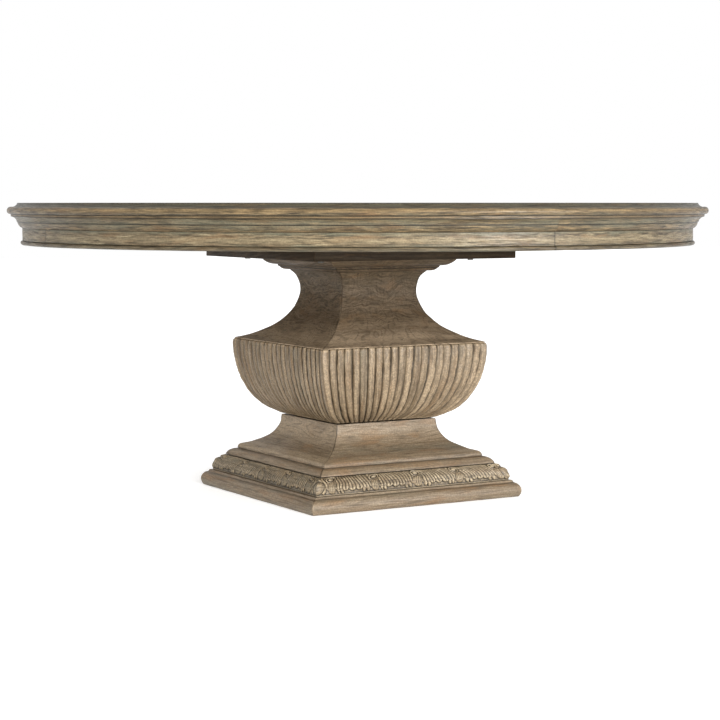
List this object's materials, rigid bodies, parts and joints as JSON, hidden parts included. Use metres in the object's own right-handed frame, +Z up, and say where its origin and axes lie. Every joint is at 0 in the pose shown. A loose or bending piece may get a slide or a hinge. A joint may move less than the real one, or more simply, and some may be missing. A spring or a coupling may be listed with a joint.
{
  "type": "round pedestal table",
  "caption": "Round dining table with a moulded rim and apron on a square urn-shaped pedestal of mitred, reeded and carved panels, on screw levelling glides.",
  "frame": {"origin": "on the floor, below the middle of the top", "axes": "+Z up; X and Y square to the sides of the pedestal"},
  "size_m": [1.829, 1.829, 0.7685],
  "materials": {
    "top_wood": "washed and glazed, satin lacquer",
    "rim_wood": "washed, dark glaze in the quirks, satin lacquer",
    "apron_wood": "washed veneer, satin lacquer",
    "neck_wood": "washed figured veneer, satin lacquer",
    "bowl_wood": "washed, dark glaze in the grooves, satin lacquer",
    "base_wood": "washed, satin lacquer",
    "carved_wood": "carved and glazed, satin lacquer",
    "dark_wood": "dark stain, matt",
    "plain_wood": "unfinished, sawn and planed",
    "steel": "zinc plated",
    "plastic": "moulded, matt"
  },
  "bodies": {
    "table": {"top_panel": "top_wood", "edge_moulding_back_right": "rim_wood", "edge_moulding_back_left": "rim_wood", "edge_moulding_front_left": "rim_wood", "edge_moulding_front_right": "rim_wood", "apron_back_right": "apron_wood", "apron_back_left": "apron_wood", "apron_front_left": "apron_wood", "apron_front_right": "apron_wood", "cornice_right": "neck_wood", "cornice_back": "neck_wood", "cornice_left": "neck_wood", "cornice_front": "neck_wood", "neck_panel_right": "neck_wood", "neck_panel_back": "neck_wood", "neck_panel_left": "neck_wood", "neck_panel_front": "neck_wood", "bowl_panel_right": "bowl_wood", "bowl_panel_back": "bowl_wood", "bowl_panel_left": "bowl_wood", "bowl_panel_front": "bowl_wood", "spreader_panel_right": "base_wood", "spreader_panel_back": "base_wood", "spreader_panel_left": "base_wood", "spreader_panel_front": "base_wood", "step_moulding_right": "base_wood", "step_moulding_back": "base_wood", "step_moulding_left": "base_wood", "step_moulding_front": "base_wood", "plinth_rail_right": "base_wood", "plinth_rail_back": "base_wood", "plinth_rail_left": "base_wood", "plinth_rail_front": "base_wood", "carved_moulding_right": "carved_wood", "carved_moulding_back": "carved_wood", "carved_moulding_left": "carved_wood", "carved_moulding_front": "carved_wood", "mounting_plate": "dark_wood", "batten_back": "plain_wood", "batten_front": "plain_wood", "cross_rail_right": "plain_wood", "cross_rail_left": "plain_wood", "core_post": "plain_wood", "rim_board": "plain_wood", "waist_board": "plain_wood", "base_board": "plain_wood", "mounting_bolt_back_right": "steel", "mounting_bolt_back_left": "steel", "mounting_bolt_front_left": "steel", "mounting_bolt_front_right": "steel"},
    "glide_foot_back_right": {"glide_foot_back_right": "plastic"},
    "glide_stud_back_right": {"glide_stud_back_right": "steel"},
    "glide_foot_back_left": {"glide_foot_back_left": "plastic"},
    "glide_stud_back_left": {"glide_stud_back_left": "steel"},
    "glide_foot_front_left": {"glide_foot_front_left": "plastic"},
    "glide_stud_front_left": {"glide_stud_front_left": "steel"},
    "glide_foot_front_right": {"glide_foot_front_right": "plastic"},
    "glide_stud_front_right": {"glide_stud_front_right": "steel"}
  },
  "joints": [
    {"name": "glide_back_right_extend", "type": "slide", "parent": "table", "child": "glide_foot_back_right", "axis": [0, 0, -1], "range_m": [0, 0.01]},
    {"name": "glide_back_right_turn", "type": "hinge", "parent": "glide_foot_back_right", "child": "glide_stud_back_right", "pos_m": [0.19, 0.19, 0], "axis": [0, 0, -1], "range_deg": [0, 2880]},
    {"name": "glide_back_left_extend", "type": "slide", "parent": "table", "child": "glide_foot_back_left", "axis": [0, 0, -1], "range_m": [0, 0.01]},
    {"name": "glide_back_left_turn", "type": "hinge", "parent": "glide_foot_back_left", "child": "glide_stud_back_left", "pos_m": [-0.19, 0.19, 0], "axis": [0, 0, -1], "range_deg": [0, 2880]},
    {"name": "glide_front_left_extend", "type": "slide", "parent": "table", "child": "glide_foot_front_left", "axis": [0, 0, -1], "range_m": [0, 0.01]},
    {"name": "glide_front_left_turn", "type": "hinge", "parent": "glide_foot_front_left", "child": "glide_stud_front_left", "pos_m": [-0.19, -0.19, 0], "axis": [0, 0, -1], "range_deg": [0, 2880]},
    {"name": "glide_front_right_extend", "type": "slide", "parent": "table", "child": "glide_foot_front_right", "axis": [0, 0, -1], "range_m": [0, 0.01]},
    {"name": "glide_front_right_turn", "type": "hinge", "parent": "glide_foot_front_right", "child": "glide_stud_front_right", "pos_m": [0.19, -0.19, 0], "axis": [0, 0, -1], "range_deg": [0, 2880]}
  ],
  "couplings": [
    {"joint": "glide_back_right_turn", "follows": "glide_back_right_extend", "rad_per_m": 5026.5},
    {"joint": "glide_back_left_turn", "follows": "glide_back_left_extend", "rad_per_m": 5026.5},
    {"joint": "glide_front_left_turn", "follows": "glide_front_left_extend", "rad_per_m": 5026.5},
    {"joint": "glide_front_right_turn", "follows": "glide_front_right_extend", "rad_per_m": 5026.5}
  ]
}
